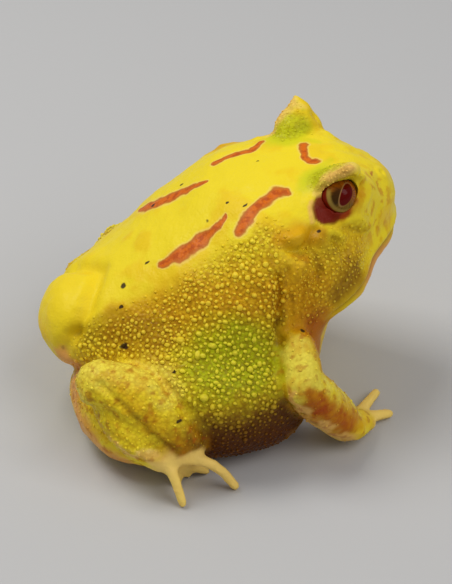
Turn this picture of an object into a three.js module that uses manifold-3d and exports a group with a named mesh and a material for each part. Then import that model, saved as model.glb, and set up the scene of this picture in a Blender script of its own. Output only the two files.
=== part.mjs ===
// An Argentine horned frog, sitting with its head raised, at life size in millimetres.
// +X is the way the frog faces, +Y is its left, +Z is up, and the floor is the plane z = 0.
// The trunk and head are implicit surfaces that are turned into closed meshes here.
// The limbs, toes, horns and lids are tapered tubes along smooth curves.
import * as THREE from 'three';
import { mergeVertices } from 'three/addons/utils/BufferGeometryUtils.js';
import Module from 'manifold-3d';

const wasm = await Module();
wasm.setup();

// Driving dimensions.
const GAP = 0.3; // between two nodes that touch
const SIDES = { right: -1, left: 1 };
const FLOOR_SIZE = 400; // edge of the block that trims everything at the floor

const TORSO_CELL = 3.5; // mesh size on the torso
const HEAD_CELL = 2.7; // mesh size on the head and jaw

const HEAD_ORIGIN = [22, 0, 40]; // on the mouth line, between its corners
const HEAD_PITCH = 9; // degrees, nose up
const HEAD_YAW = 6; // degrees, turned to the left

const MOUTH_HALF_WIDTH = 27;
const MOUTH_FRONT = 21.5; // how far the lips reach ahead of HEAD_ORIGIN
const MOUTH_DROP = 4; // how far the corners of the mouth hang below its front
const LIP_HEIGHT = 0.9;
const LIP_SPREAD = 3.2;

const EYE_RADIUS = 4.8;
const EYE_CENTRE = [3.4, 14.4, 19.4]; // this and the next places are in the head's frame, left side
const LID_RADIUS = 1.1;
const LID_START = 178; // degrees, from the front of the eye over its top
const LID_END = 378;
const LID_OUT = 1.6; // how far the lid stands out from the eye's centre
const HORN_ROOT = [3.8, 11.4, 19];
const HORN_ROOT_SIZE = [5, 7.2]; // half width across the head and half length along it
const HORN_TIP_RADIUS = 1.1;
const HORN_FULLNESS = 2.6; // higher keeps the horn wide for longer
const HORN_BOW = 1; // its front bulges forward at half its height
const LID_OPENING = [4.6, 20.4, 20.4]; // the hollow under the upper lid's edge, and its radius
const LID_OPENING_RADIUS = 6;
const HORN_TIPS = { right: [6.4, 18.4, 28.4], left: [8, 18.5, 28.4] };
const NOSTRIL = [18.6, 5.2, 14.2];
const NOSTRIL_RADIUS = 0.9;

// Joints of the limbs on the right side, with y outwards. The left side mirrors them.
const SHOULDER = [6.8, 26.5, 34.5];
const ELBOW = [8, 40, 24];
const WRIST = [21, 36, 6.5];
const KNUCKLES = [27.5, 32, 3];
const KNUCKLE_SPREAD = 1.9;
const DIGIT_TIP = 0.75; // radius of a digit's tip against its middle
const FINGERS = [
  { tip: [35.4, 29.2], radius: 1.75 },
  { tip: [35, 20], radius: 1.75 },
  { tip: [26, 22], radius: 1.5 },
  { tip: [20.5, 25], radius: 1.5 },
];

const HIP = [-32, 12, 11];
const KNEE = [-23.5, 37, 12];
const HEEL = [-38.5, 28.5, 25];
const TOE_ROOT = [-27, 42, 10];
const TOES = [
  { root: [0.5, 1, 0], tip: [-24, 48.6], radius: 1.6, drop: 1.5 },
  { root: [1, 0.5, 0.5], tip: [-10.2, 45.8], radius: 1.7, drop: 3.4 },
  { root: [0.5, 0, -1], tip: [-15.5, 38.5], radius: 1.5, drop: 1.2 },
  { root: [0, -0.5, -2], tip: [-20, 38.5], radius: 1.4, drop: 1.2 },
  { root: [-1, -0.5, -2], tip: [-23, 41], radius: 1.3, drop: 1.4 },
];
// The left leg rests further forward, with its heel near the floor.
const LEFT_SHIFTS = { hip: [5, 0, -1], knee: [9, 1, 0], heel: [8, 4, -11], toes: [8, 1, 0] };
const NO_SHIFT = [0, 0, 0];

const NECK_POINT = [10.5, 0, 45]; // on the cut between torso and head
const NECK_TILT = 20; // degrees, the cut's top leans back

// Frames: a matrix places a local shape in the frog's frame.
const degrees = THREE.MathUtils.degToRad;
const headFrame = new THREE.Matrix4()
  .makeTranslation(...HEAD_ORIGIN)
  .multiply(new THREE.Matrix4().makeRotationZ(degrees(HEAD_YAW)))
  .multiply(new THREE.Matrix4().makeRotationY(degrees(-HEAD_PITCH)));
const worldFrame = new THREE.Matrix4();

// Implicit shapes. A field is negative inside and close to the distance in millimetres near its surface.

// An egg with its own power below and above its widest level, so that its underside can lie flat,
// and one for its outline from above: higher powers make a fuller, squarer form.
function egg(frame, centre, radii, { pitch = 0, below = 2, above = 2, plan = 2, top = radii[2] } = {}) {
  const inverse = frame
    .clone()
    .multiply(new THREE.Matrix4().makeTranslation(...centre))
    .multiply(new THREE.Matrix4().makeRotationY(degrees(-pitch)))
    .invert().elements;
  const [rx, ry, rz] = radii;
  return (x, y, z) => {
    const u = inverse[0] * x + inverse[4] * y + inverse[8] * z + inverse[12];
    const v = inverse[1] * x + inverse[5] * y + inverse[9] * z + inverse[13];
    const w = inverse[2] * x + inverse[6] * y + inverse[10] * z + inverse[14];
    const power = w < 0 ? below : above;
    const height = w < 0 ? rz : top;
    const ahead = Math.abs(u) / rx;
    const aside = Math.abs(v) / ry;
    const spread = Math.max(ahead ** plan + aside ** plan, 1e-9);
    const around = spread ** (1 / plan);
    const slope =
      (around / spread) * Math.hypot(ahead ** (plan - 1) / rx, aside ** (plan - 1) / ry);
    const level = Math.abs(w) / height;
    const sum = Math.max(around ** power + level ** power, 1e-9);
    const value = sum ** (1 / power);
    const steepness =
      (value / sum) * Math.hypot(around ** (power - 1) * slope, level ** (power - 1) / height);
    return (value - 1) / Math.max(steepness, 1e-3);
  };
}

// A union that rounds the crease between its members over the given width.
function blend(width, ...fields) {
  return (x, y, z) => {
    let least = fields[0](x, y, z);
    for (let i = 1; i < fields.length; i++) {
      const next = fields[i](x, y, z);
      const near = Math.max(width - Math.abs(least - next), 0) / width;
      least = Math.min(least, next) - (near * near * width) / 4;
    }
    return least;
  };
}

const mirrored = (make) => Object.values(SIDES).map((side) => make(side));

// The closed mesh of a field's zero surface: one vertex in each cell that the surface crosses,
// one quadrilateral across each grid edge that it crosses, and every vertex drawn onto the surface.
function surfaceOf(field, cell, low, high) {
  const count = low.map((l, i) => Math.ceil((high[i] - l) / cell) + 1);
  const [nx, ny, nz] = count;
  const at = (i, j, k) => (k * ny + j) * nx + i;
  const values = new Float32Array(nx * ny * nz);
  for (let k = 0; k < nz; k++)
    for (let j = 0; j < ny; j++)
      for (let i = 0; i < nx; i++)
        values[at(i, j, k)] = field(low[0] + i * cell, low[1] + j * cell, low[2] + k * cell);
  const points = [];
  const vertexOf = new Map();
  for (let k = 0; k < nz - 1; k++)
    for (let j = 0; j < ny - 1; j++)
      for (let i = 0; i < nx - 1; i++) {
        const sum = [0, 0, 0];
        let crossings = 0;
        for (let axis = 0; axis < 3; axis++)
          for (let corner = 0; corner < 4; corner++) {
            const start = [i, j, k];
            start[(axis + 1) % 3] += corner & 1;
            start[(axis + 2) % 3] += corner >> 1;
            const end = [...start];
            end[axis] += 1;
            const a = values[at(...start)];
            const b = values[at(...end)];
            if (a < 0 === b < 0) continue;
            start[axis] += a / (a - b);
            start.forEach((s, n) => (sum[n] += s));
            crossings += 1;
          }
        if (!crossings) continue;
        vertexOf.set(at(i, j, k), points.length);
        points.push(sum.map((s, n) => low[n] + (s / crossings) * cell));
      }
  const quads = [];
  for (let k = 1; k < nz - 1; k++)
    for (let j = 1; j < ny - 1; j++)
      for (let i = 1; i < nx - 1; i++)
        for (let axis = 0; axis < 3; axis++) {
          const end = [i, j, k];
          end[axis] += 1;
          const inside = values[at(i, j, k)] < 0;
          if (inside === values[at(...end)] < 0) continue;
          const ring = [[0, 0], [1, 0], [1, 1], [0, 1]].map(([p, q]) => {
            const cellIndex = [i, j, k];
            cellIndex[(axis + 1) % 3] -= p;
            cellIndex[(axis + 2) % 3] -= q;
            return vertexOf.get(at(...cellIndex));
          });
          quads.push(inside ? ring : ring.reverse());
        }
  for (let round = 0; round < 3; round++) {
    if (round > 0) relax(points, quads);
    points.forEach((point) => drawOnto(field, point));
  }
  const index = quads.flatMap(([a, b, c, d]) =>
    apart(points[a], points[c]) < apart(points[b], points[d])
      ? [a, b, c, a, c, d]
      : [a, b, d, b, c, d],
  );
  return new THREE.BufferGeometry()
    .setAttribute('position', new THREE.Float32BufferAttribute(points.flat(), 3))
    .setIndex(index);
}

const apart = (a, b) => Math.hypot(a[0] - b[0], a[1] - b[1], a[2] - b[2]);

// Evens out the spacing of the vertices: each moves to the mean of its neighbours.
function relax(points, quads) {
  const sums = points.map(() => [0, 0, 0, 0]);
  for (const quad of quads)
    quad.forEach((vertex, n) => {
      const next = points[quad[(n + 1) % 4]];
      const sum = sums[vertex];
      next.forEach((value, axis) => (sum[axis] += value));
      sum[3] += 1;
    });
  points.forEach((point, n) => {
    const [x, y, z, total] = sums[n];
    [x, y, z].forEach((value, axis) => (point[axis] = (point[axis] + value / total) / 2));
  });
}

// Moves a point onto the field's zero surface, along the field's slope.
function drawOnto(field, point) {
  const step = 0.05;
  for (let round = 0; round < 3; round++) {
    const value = field(...point);
    const slope = point.map((_, axis) => {
      const ahead = [...point];
      const behind = [...point];
      ahead[axis] += step;
      behind[axis] -= step;
      return (field(...ahead) - field(...behind)) / (2 * step);
    });
    const steepness = Math.max(slope[0] ** 2 + slope[1] ** 2 + slope[2] ** 2, 0.05);
    slope.forEach((s, axis) => (point[axis] -= (value * s) / steepness));
  }
}

// A closed tapered tube with round ends. Each station is [x, y, z, half width, half height];
// the width lies level, or along a fixed direction where one is given, and the height stands across it.
function tube(stations, { sides = 12, steps = 8, grow = 0, capRings = 2, level: fixed } = {}) {
  const spine = new THREE.CatmullRomCurve3(
    stations.map(([x, y, z]) => new THREE.Vector3(x, y, z)),
  );
  const sizes = new THREE.CatmullRomCurve3(
    stations.map(([, , , width, height = width]) => new THREE.Vector3(width, height, 0)),
  );
  const rings = [];
  const addRing = (t, push, shrink) => {
    const centre = spine.getPoint(t);
    const along = spine.getTangent(t);
    const level = new THREE.Vector3(-along.y, along.x, 0);
    if (fixed) level.set(...fixed).projectOnPlane(along);
    level.normalize();
    const across = new THREE.Vector3().crossVectors(along, level);
    const size = sizes.getPoint(t);
    const width = size.x + grow;
    const height = size.y + grow;
    centre.addScaledVector(along, push * Math.min(width, height));
    rings.push({ centre, level, across, width: width * shrink, height: height * shrink });
  };
  for (let n = 0; n < capRings; n++) {
    const angle = (Math.PI / 2) * ((n + 0.4) / capRings);
    addRing(0, -Math.cos(angle), Math.sin(angle));
  }
  for (let n = 0; n <= steps; n++) addRing(n / steps, 0, 1);
  for (let n = capRings - 1; n >= 0; n--) {
    const angle = (Math.PI / 2) * ((n + 0.4) / capRings);
    addRing(1, Math.cos(angle), Math.sin(angle));
  }
  const positions = [];
  for (const ring of rings)
    for (let s = 0; s < sides; s++) {
      const angle = (2 * Math.PI * s) / sides;
      const point = ring.centre
        .clone()
        .addScaledVector(ring.level, ring.width * Math.cos(angle))
        .addScaledVector(ring.across, ring.height * Math.sin(angle));
      positions.push(...point);
    }
  const first = rings[0].centre;
  const last = rings[rings.length - 1].centre;
  positions.push(...first, ...last);
  const firstPole = rings.length * sides;
  const lastPole = firstPole + 1;
  const index = [];
  for (let s = 0; s < sides; s++) {
    const t = (s + 1) % sides;
    index.push(firstPole, t, s);
    index.push(lastPole, firstPole - sides + s, firstPole - sides + t);
    for (let r = 0; r < rings.length - 1; r++) {
      const a = r * sides;
      const b = a + sides;
      index.push(a + s, a + t, b + t, a + s, b + t, b + s);
    }
  }
  return new THREE.BufferGeometry()
    .setAttribute('position', new THREE.Float32BufferAttribute(positions, 3))
    .setIndex(index);
}

// One vertex at each place, so that the seams of a ready-made shape are closed.
function welded(geometry) {
  geometry.deleteAttribute('normal');
  geometry.deleteAttribute('uv');
  return mergeVertices(geometry, 1e-4);
}

// Solids for joining and cutting.
const solid = (geometry) =>
  new wasm.Manifold(
    new wasm.Mesh({
      numProp: 3,
      vertProperties: geometry.attributes.position.array,
      triVerts: new Uint32Array(geometry.index.array),
    }),
  );

function geometryOf(made) {
  const mesh = made.getMesh();
  const geometry = new THREE.BufferGeometry()
    .setAttribute('position', new THREE.BufferAttribute(new Float32Array(mesh.vertProperties), 3))
    .setIndex(new THREE.BufferAttribute(new Uint32Array(mesh.triVerts), 1));
  geometry.computeVertexNormals();
  return geometry;
}

const largest = (made) => made.decompose().sort((a, b) => b.volume() - a.volume())[0];
const join = (...parts) => parts.reduce((whole, part) => whole.add(part));
const cut = (whole, ...tools) => tools.reduce((rest, tool) => rest.subtract(tool), whole);

const block = () => welded(new THREE.BoxGeometry(FLOOR_SIZE, FLOOR_SIZE, FLOOR_SIZE));
const aboveFloor = solid(block().translate(0, 0, FLOOR_SIZE / 2));

// The half space ahead of the neck cut, moved forward by the given distance.
function aheadOfNeck(shift) {
  const ahead = block()
    .translate(FLOOR_SIZE / 2 + shift, 0, 0)
    .rotateY(degrees(-NECK_TILT))
    .translate(...NECK_POINT);
  return solid(ahead);
}

// The mouth line in the head's frame: level at the front and drooping to the corners.
function mouthLevel(x) {
  const share = THREE.MathUtils.clamp((MOUTH_FRONT - 5 - x) / MOUTH_FRONT, 0, 1.6);
  return -MOUTH_DROP * share ** 2;
}

// Everything above the mouth line, moved up by the given distance.
function aboveMouth(shift) {
  const back = -40;
  const front = 40;
  const pieces = 24;
  const outline = new THREE.Shape().moveTo(back, FLOOR_SIZE / 4);
  for (let n = 0; n <= pieces; n++) {
    const x = back + ((front - back) * n) / pieces;
    outline.lineTo(x, mouthLevel(x) + shift);
  }
  outline.lineTo(front, FLOOR_SIZE / 4);
  const depth = 120;
  const above = welded(new THREE.ExtrudeGeometry(outline, { depth, bevelEnabled: false }))
    .translate(0, 0, -depth / 2)
    .rotateX(Math.PI / 2)
    .applyMatrix4(headFrame);
  return solid(above);
}

// The trunk: a broad belly that spreads on the floor, the back above it, shoulders, chest and rump.
const torsoField = blend(
  7,
  egg(worldFrame, [-8, 0, 20], [28, 42.5, 21], { below: 4, above: 2.2, plan: 2.5, top: 17 }),
  egg(worldFrame, [-1, 0, 31], [27.5, 34, 24.3], { pitch: 20 }),
  egg(worldFrame, [8.5, 0, 40.5], [16.5, 30, 20.6], { pitch: 5, above: 2.6 }),
  egg(worldFrame, [0.5, 0, 15], [12.5, 22, 16], { below: 3 }),
  egg(worldFrame, [-22, 0, 27.5], [19, 23, 14.5], { pitch: 20 }),
  egg(worldFrame, [-35.5, 0, 24.5], [13, 15.5, 11.5], { pitch: 8 }),
);

// The head: a broad lower and upper jaw, a short steep snout, a high skull and a mound under each eye.
const skullField = blend(
  5,
  egg(headFrame, [-4, 0, 5], [16, MOUTH_HALF_WIDTH - 0.5, 11]),
  egg(headFrame, [7.4, 0, 9], [16.4, 15.4, 13.4], { above: 1.6 }),
  egg(headFrame, [-4, 0, -2], [16, MOUTH_HALF_WIDTH - 0.5, 7]),
  egg(headFrame, [5, 0, -1], [16, 15, 6]),
  egg(headFrame, [-3, 0, 12], [18, 20, 12]),
  ...mirrored((side) => egg(headFrame, [3.6, side * 12, 16.6], [9.4, 6.8, 7.6])),
);
const throatField = egg(worldFrame, [9, 0, 30], [11, 20, 10]);

// Lips: the skin swells a little on both sides of the mouth line.
function lipSwell(x, y, z) {
  const local = new THREE.Vector3(x, y, z).applyMatrix4(headInverse);
  if (local.x < -6) return 0;
  const fade = THREE.MathUtils.smoothstep(local.x, -6, 2);
  return fade * LIP_HEIGHT * Math.exp(-(((local.z - mouthLevel(local.x)) / LIP_SPREAD) ** 2));
}
const headInverse = headFrame.clone().invert();
const plainTrunk = blend(6, torsoField, skullField, throatField);
const trunkField = (x, y, z) => plainTrunk(x, y, z) - lipSwell(x, y, z);

const TRUNK_LOW = [-60, -56, -12];
const TRUNK_HIGH = [56, 56, 84];
const HEAD_LOW = [-12, -56, -10];
const trunkCoarse = solid(surfaceOf(trunkField, TORSO_CELL, TRUNK_LOW, TRUNK_HIGH));
const grownTrunkField = (x, y, z) => trunkField(x, y, z) - GAP;
const grownTrunk = solid(surfaceOf(grownTrunkField, TORSO_CELL, TRUNK_LOW, TRUNK_HIGH));

// The head's finer mesh is closed behind the neck cut by a plane that the cut then removes.
const neckNormal = [Math.cos(degrees(NECK_TILT)), 0, Math.sin(degrees(NECK_TILT))];
function behindHead(x, y, z) {
  const ahead = (x - NECK_POINT[0]) * neckNormal[0] + (z - NECK_POINT[2]) * neckNormal[2];
  return -ahead - 3;
}
const headSideField = (x, y, z) => Math.max(trunkField(x, y, z), behindHead(x, y, z));
const trunkFine = solid(surfaceOf(headSideField, HEAD_CELL, HEAD_LOW, TRUNK_HIGH));

const torso = cut(trunkCoarse, aheadOfNeck(-GAP / 2));
const headAndJaw = trunkFine.intersect(aheadOfNeck(GAP / 2));

// A ball at a place in the head's frame, on the given side.
function ballInHead([x, y, z], side, radius) {
  const ball = welded(new THREE.SphereGeometry(radius, 16, 12))
    .rotateX(Math.PI / 2)
    .translate(x, side * y, z)
    .applyMatrix4(headFrame);
  return solid(ball);
}

// Eyes, with the socket that each leaves in the head and its horn.
const eyeball = (side, grow = 0) => ballInHead(EYE_CENTRE, side, EYE_RADIUS + grow);
const lidOpening = (side) => ballInHead(LID_OPENING, side, LID_OPENING_RADIUS);

// The upper lid rises into a blunt horn over the eye. Each station is a level section of it.
function hornShape(name) {
  const side = SIDES[name];
  const tip = HORN_TIPS[name];
  const stations = [];
  for (let n = 0; n <= 4; n++) {
    const t = n / 4;
    const [x, y, z] = HORN_ROOT.map((start, axis) => start + (tip[axis] - start) * t);
    const bow = HORN_BOW * Math.sin(Math.PI * t);
    const size = 1 - t ** HORN_FULLNESS;
    const width = HORN_TIP_RADIUS + (HORN_ROOT_SIZE[0] - HORN_TIP_RADIUS) * size;
    const length = HORN_TIP_RADIUS + (HORN_ROOT_SIZE[1] - HORN_TIP_RADIUS) * size;
    stations.push([x + bow, side * y, z, width, length]);
  }
  return solid(tube(stations, { sides: 12, steps: 7, level: [0, 1, 0] }).applyMatrix4(headFrame));
}

// A rolled lower lid round the lower half of the eye.
function lowerLid(side, grow = 0) {
  const [x, y, z] = EYE_CENTRE;
  const reach = EYE_RADIUS - 0.3;
  const stations = [];
  for (let n = 0; n <= 6; n++) {
    const angle = degrees(LID_START + ((LID_END - LID_START) * n) / 6);
    const across = [x + reach * Math.cos(angle), side * (y + LID_OUT), z + reach * Math.sin(angle)];
    stations.push([...across, LID_RADIUS]);
  }
  return solid(tube(stations, { sides: 7, steps: 12, grow, capRings: 1 }).applyMatrix4(headFrame));
}

function nostril(side) {
  const [x, y, z] = NOSTRIL;
  const stations = [
    [x + 4, side * (y + 1.5), z + 2.4, NOSTRIL_RADIUS * 1.6, NOSTRIL_RADIUS * 1.4],
    [x - 1.2, side * y, z, NOSTRIL_RADIUS * 0.7, NOSTRIL_RADIUS * 0.7],
  ];
  return solid(tube(stations, { sides: 8, steps: 3, capRings: 1 }).applyMatrix4(headFrame));
}

const parts = {};
const upper = headAndJaw.intersect(aboveMouth(GAP / 2));
parts.torso = torso;
parts.jaw = cut(headAndJaw, aboveMouth(-GAP / 2));
const lids = mirrored(lowerLid);
const sockets = mirrored((side) => eyeball(side, GAP));
parts.head = cut(join(upper, ...lids), ...sockets, ...mirrored(nostril));
const headSkin = surfaceOf(
  (x, y, z) => headSideField(x, y, z) - GAP,
  HEAD_CELL,
  HEAD_LOW.map((low) => low - 1),
  TRUNK_HIGH,
);
const headGrown = solid(headSkin);

for (const [name, side] of Object.entries(SIDES)) {
  parts[`eye_${name}`] = eyeball(side);
  const lidTool = lowerLid(side, GAP);
  const hollows = [eyeball(side, GAP), lidOpening(side), lidTool];
  parts[`horn_${name}`] = cut(hornShape(name), headGrown, ...hollows);
}

// A limb segment from one joint to the next. Its radii are those at its two ends, its muscle swells it
// in the middle, and flat is how many times its height is greater than its width.
function segment(from, to, { radii, muscle = 0, bow = [0, 0, 0], flat = 1 }) {
  const stations = [];
  for (let n = 0; n <= 4; n++) {
    const t = n / 4;
    const swell = Math.sin(Math.PI * t);
    const radius = radii[0] + (radii[1] - radii[0]) * t + muscle * swell;
    const centre = from.map((start, axis) => start + (to[axis] - start) * t + bow[axis] * swell);
    stations.push([...centre, radius / flat, radius]);
  }
  return stations;
}

// A digit runs from its root to its tip on the floor. A greater drop keeps it level for longer first.
function digitSolid(root, { tip, radius, drop = 1.4 }, side) {
  const stations = [];
  for (let n = 0; n <= 5; n++) {
    const t = n / 5;
    const [x, y] = root.map((start, axis) => start + (tip[axis] - start) * t);
    const low = radius * DIGIT_TIP;
    const z = root[2] - (root[2] - low) * t ** drop;
    const size = radius * (1.3 - (1.3 - DIGIT_TIP) * Math.sqrt(t));
    stations.push([x, y, z, size, size]);
  }
  return solid(tube(onSide(stations, side), { sides: 6, steps: 6, capRings: 1 }));
}

const onSide = (stations, side) => stations.map(([x, y, ...rest]) => [x, side * y, ...rest]);
const limb = (stations, side, { grow = 0, sides = 14, steps = 7 } = {}) =>
  solid(tube(onSide(stations, side), { grow, sides, steps }));
const moved = (point, shift) => point.map((value, axis) => value + shift[axis]);

for (const [name, side] of Object.entries(SIDES)) {
  const upperArm = segment(SHOULDER, ELBOW, { radii: [4.8, 5.1], bow: [1, 2, 0.3] });
  const forearm = segment(ELBOW, WRIST, { radii: [5.4, 4.7], muscle: 0.9 });
  const palm = segment(WRIST, KNUCKLES, { radii: [4.2, 2.6], flat: 0.7 });
  const fingers = FINGERS.map((finger, n) => {
    const root = moved(KNUCKLES, [-KNUCKLE_SPREAD * n, -KNUCKLE_SPREAD * n * 0.4, 0.4]);
    return digitSolid(root, finger, side);
  });
  const armTool = limb(upperArm, side, { grow: GAP });
  const forearmTool = limb(forearm, side, { grow: GAP });
  const hand = join(limb(palm, side, { sides: 12, steps: 5 }), ...fingers);
  parts[`upper_arm_${name}`] = cut(limb(upperArm, side), grownTrunk);
  parts[`forearm_${name}`] = cut(limb(forearm, side), armTool, grownTrunk);
  parts[`hand_${name}`] = cut(hand, armTool, forearmTool, grownTrunk);

  const shifts = side === SIDES.left ? LEFT_SHIFTS : {};
  const { hip: hipShift = NO_SHIFT, knee: kneeShift = NO_SHIFT } = shifts;
  const { heel: heelShift = NO_SHIFT, toes: toeShift = NO_SHIFT } = shifts;
  const hip = moved(HIP, hipShift);
  const knee = moved(KNEE, kneeShift);
  const heel = moved(HEEL, heelShift);
  const toeRoot = moved(TOE_ROOT, toeShift);
  const thigh = segment(hip, knee, { radii: [12, 7.5], muscle: 1.6, bow: [-3.5, 1, 0] });
  const shank = segment(moved(knee, [1, 0, 1.5]), heel, {
    radii: [8.2, 6.6],
    muscle: 1.6,
    bow: [1.5, 0, 0.5],
  });
  const foot = segment(moved(heel, [-1, 1.5, -2]), toeRoot, {
    radii: [5.2, 3.8],
    muscle: 0.8,
    bow: [-1, 1.4, -1],
    flat: 1.4,
  });
  const toes = TOES.map((toe) => {
    const tip = moved(toe.tip, toeShift);
    return digitSolid(moved(toeRoot, toe.root), { ...toe, tip }, side);
  });
  const thighTool = limb(thigh, side, { grow: GAP, sides: 16 });
  const shankTool = limb(shank, side, { grow: GAP });
  const wholeFoot = join(limb(foot, side, { sides: 12 }), ...toes);
  parts[`shank_${name}`] = cut(limb(shank, side), grownTrunk);
  parts[`thigh_${name}`] = cut(limb(thigh, side, { sides: 16 }), shankTool, grownTrunk);
  parts[`foot_${name}`] = cut(wholeFoot, shankTool, thighTool, grownTrunk);
}

// Finishes: an albino's yellow skin, pale toes and belly side, and a dark eye.
const finish = (color, roughness) =>
  new THREE.MeshStandardMaterial({ color, roughness, metalness: 0 });
const skinYellow = finish(0xe6c81e, 0.45);
const palePink = finish(0xe9c08f, 0.4);
const eyeDark = finish(0x5a2a12, 0.1);
const hornPeach = finish(0xe8c46a, 0.45);
const materialOf = (name) => {
  if (name.startsWith('eye')) return eyeDark;
  if (name.startsWith('horn')) return hornPeach;
  if (name.startsWith('hand') || name.startsWith('foot')) return palePink;
  return skinYellow;
};

const frog = new THREE.Group();
for (const [name, made] of Object.entries(parts)) {
  const mesh = new THREE.Mesh(geometryOf(largest(made.intersect(aboveFloor))), materialOf(name));
  mesh.name = name;
  frog.add(mesh);
}

// The origin is on the floor, under the middle of the whole frog's box.
const box = new THREE.Box3().setFromObject(frog);
frog.position.set(-(box.min.x + box.max.x) / 2, -(box.min.y + box.max.y) / 2, -box.min.z);

export default frog;
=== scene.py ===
# %% [markdown]
# # An Argentine horned frog
# A still, life-size model of an albino horned frog that sits with its head raised.
# The solids give its size and pose. This lesson dresses them: one skin over all the flesh, with warts,
# lids, lips and folds, two eyes, and a finish that is made only from numbers and noise.
# Everything is in metres, in the same frame as the solids: +X is the way the frog faces, +Z is up.

# %% Load the solids
import math
from functools import reduce

import bmesh
import bpy
import numpy as np
from mathutils import Matrix, Vector, noise
from mathutils.bvhtree import BVHTree


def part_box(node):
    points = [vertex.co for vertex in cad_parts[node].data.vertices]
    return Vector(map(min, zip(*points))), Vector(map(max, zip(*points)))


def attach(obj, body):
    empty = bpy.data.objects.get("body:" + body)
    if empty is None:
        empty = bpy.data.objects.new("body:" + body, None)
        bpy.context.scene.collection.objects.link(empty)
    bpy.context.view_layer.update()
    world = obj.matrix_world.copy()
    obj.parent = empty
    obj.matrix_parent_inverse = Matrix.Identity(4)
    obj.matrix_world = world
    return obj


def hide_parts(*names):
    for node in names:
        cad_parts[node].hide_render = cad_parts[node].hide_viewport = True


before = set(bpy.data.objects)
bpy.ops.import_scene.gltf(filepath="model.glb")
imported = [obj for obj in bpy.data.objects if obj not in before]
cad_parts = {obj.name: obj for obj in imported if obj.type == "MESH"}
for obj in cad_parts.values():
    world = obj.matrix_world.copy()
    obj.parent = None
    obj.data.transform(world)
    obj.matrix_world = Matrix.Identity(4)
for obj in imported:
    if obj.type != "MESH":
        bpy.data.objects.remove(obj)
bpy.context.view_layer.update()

MM = 0.001

# %% [markdown]
# ## Helpers
# An operator works on whatever is selected, so each step first selects exactly what it needs.
# A modifier is added, set and applied in one call, and a mesh's points are read and written as one array.
# Soft edges are made everywhere by two curves: a ramp from 0 to 1 and a bell that is 1 in its middle.

# %% Select, apply, read and write
def pick(*objects):
    bpy.ops.object.select_all(action="DESELECT")
    for each in objects:
        each.select_set(True)
    bpy.context.view_layer.objects.active = objects[0]


def apply_modifier(piece, kind, **settings):
    pick(piece)
    modifier = piece.modifiers.new(kind.title(), kind)
    for name, value in settings.items():
        setattr(modifier, name, value)
    bpy.ops.object.modifier_apply(modifier=modifier.name)


def points_of(piece):
    values = np.zeros(len(piece.data.vertices) * 3)
    piece.data.vertices.foreach_get("co", values)
    return values.reshape(-1, 3)


def normals_of(piece):
    values = np.zeros(len(piece.data.vertices) * 3)
    piece.data.vertex_normals.foreach_get("vector", values)
    return values.reshape(-1, 3)


def push_out(piece, millimetres):
    places = points_of(piece) + normals_of(piece) * (millimetres * MM)[:, None]
    piece.data.vertices.foreach_set("co", places.ravel())
    piece.data.update()


def set_attribute(piece, name, values):
    """One number, or one colour, for each point of a piece."""
    kind, field = ("FLOAT", "value") if values.ndim == 1 else ("FLOAT_COLOR", "color")
    layer = piece.data.attributes.new(name, kind, "POINT")
    layer.data.foreach_set(field, values.astype(np.float32).ravel())


def ramp(values, start, end):
    share = np.clip((values - start) / (end - start), 0, 1)
    return share * share * (3 - 2 * share)


def bell(distance, width):
    return np.exp(-((distance / width) ** 2))


# %% [markdown]
# ## Landmarks
# Every place on the frog is told in millimetres, in one of two frames: the frog's own, which stands on the
# floor, and the head's, which is turned and raised with the head and has its zero on the mouth line.
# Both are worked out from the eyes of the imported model, so they follow it if it is packed again.

# %% The frog's frame and the head's frame
HEAD_PITCH = 9  # degrees, nose up
EYE_PLACE = Vector((3.4, 14.4, 19.4))  # the left eye's centre in the head's frame
HEAD_PLACE = Vector((22, 0, 40))  # the head frame's zero in the frog's frame


def centre_of(node):
    low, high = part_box(node)
    return (low + high) / 2


eyes_apart = centre_of("eye_left") - centre_of("eye_right")
head_yaw = math.atan2(-eyes_apart.x, eyes_apart.y)
head_turn = Matrix.Rotation(head_yaw, 4, "Z") @ Matrix.Rotation(-math.radians(HEAD_PITCH), 4, "Y")
eyes_middle = (centre_of("eye_left") + centre_of("eye_right")) / 2
head_zero = eyes_middle - head_turn @ (Vector((EYE_PLACE.x, 0, EYE_PLACE.z)) * MM)
frog_zero = head_zero - HEAD_PLACE * MM


def on_frog(x, y, z):
    return frog_zero + Vector((x, y, z)) * MM


def in_frog_frame(places):
    return (places - np.array(frog_zero)) / MM


def in_head_frame(places):
    turn = np.array(head_turn.to_3x3())
    return (places - np.array(head_zero)) @ turn / MM


print("the head is turned by", round(math.degrees(head_yaw), 1), "degrees")

# %% [markdown]
# ## Camera
# The camera looks down on the frog's right side from a little behind it, through a long lens, as the photo
# does. Its place is told by the two angles that it looks along, its distance and its target.

# %% Camera
CAMERA_AZIMUTH = -15.2
CAMERA_ELEVATION = 34.6
CAMERA_DISTANCE = 451 * MM
CAMERA_TARGET = on_frog(0, 0, 26.1)
LENS = 108.2
SENSOR_WIDTH = 36


def direction(azimuth, elevation):
    turn, rise = math.radians(azimuth), math.radians(elevation)
    return Vector((math.sin(turn) * math.cos(rise), -math.cos(turn) * math.cos(rise), math.sin(rise)))


camera_back = direction(CAMERA_AZIMUTH, CAMERA_ELEVATION)
bpy.ops.object.select_all(action="DESELECT")
bpy.ops.object.camera_add(
    location=CAMERA_TARGET + camera_back * CAMERA_DISTANCE,
    rotation=(-camera_back).to_track_quat("-Z", "Y").to_euler(),
)
camera = bpy.context.object
camera.data.lens = LENS
camera.data.sensor_width = SENSOR_WIDTH
camera.data.clip_start = 10 * MM
bpy.context.scene.camera = camera

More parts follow.
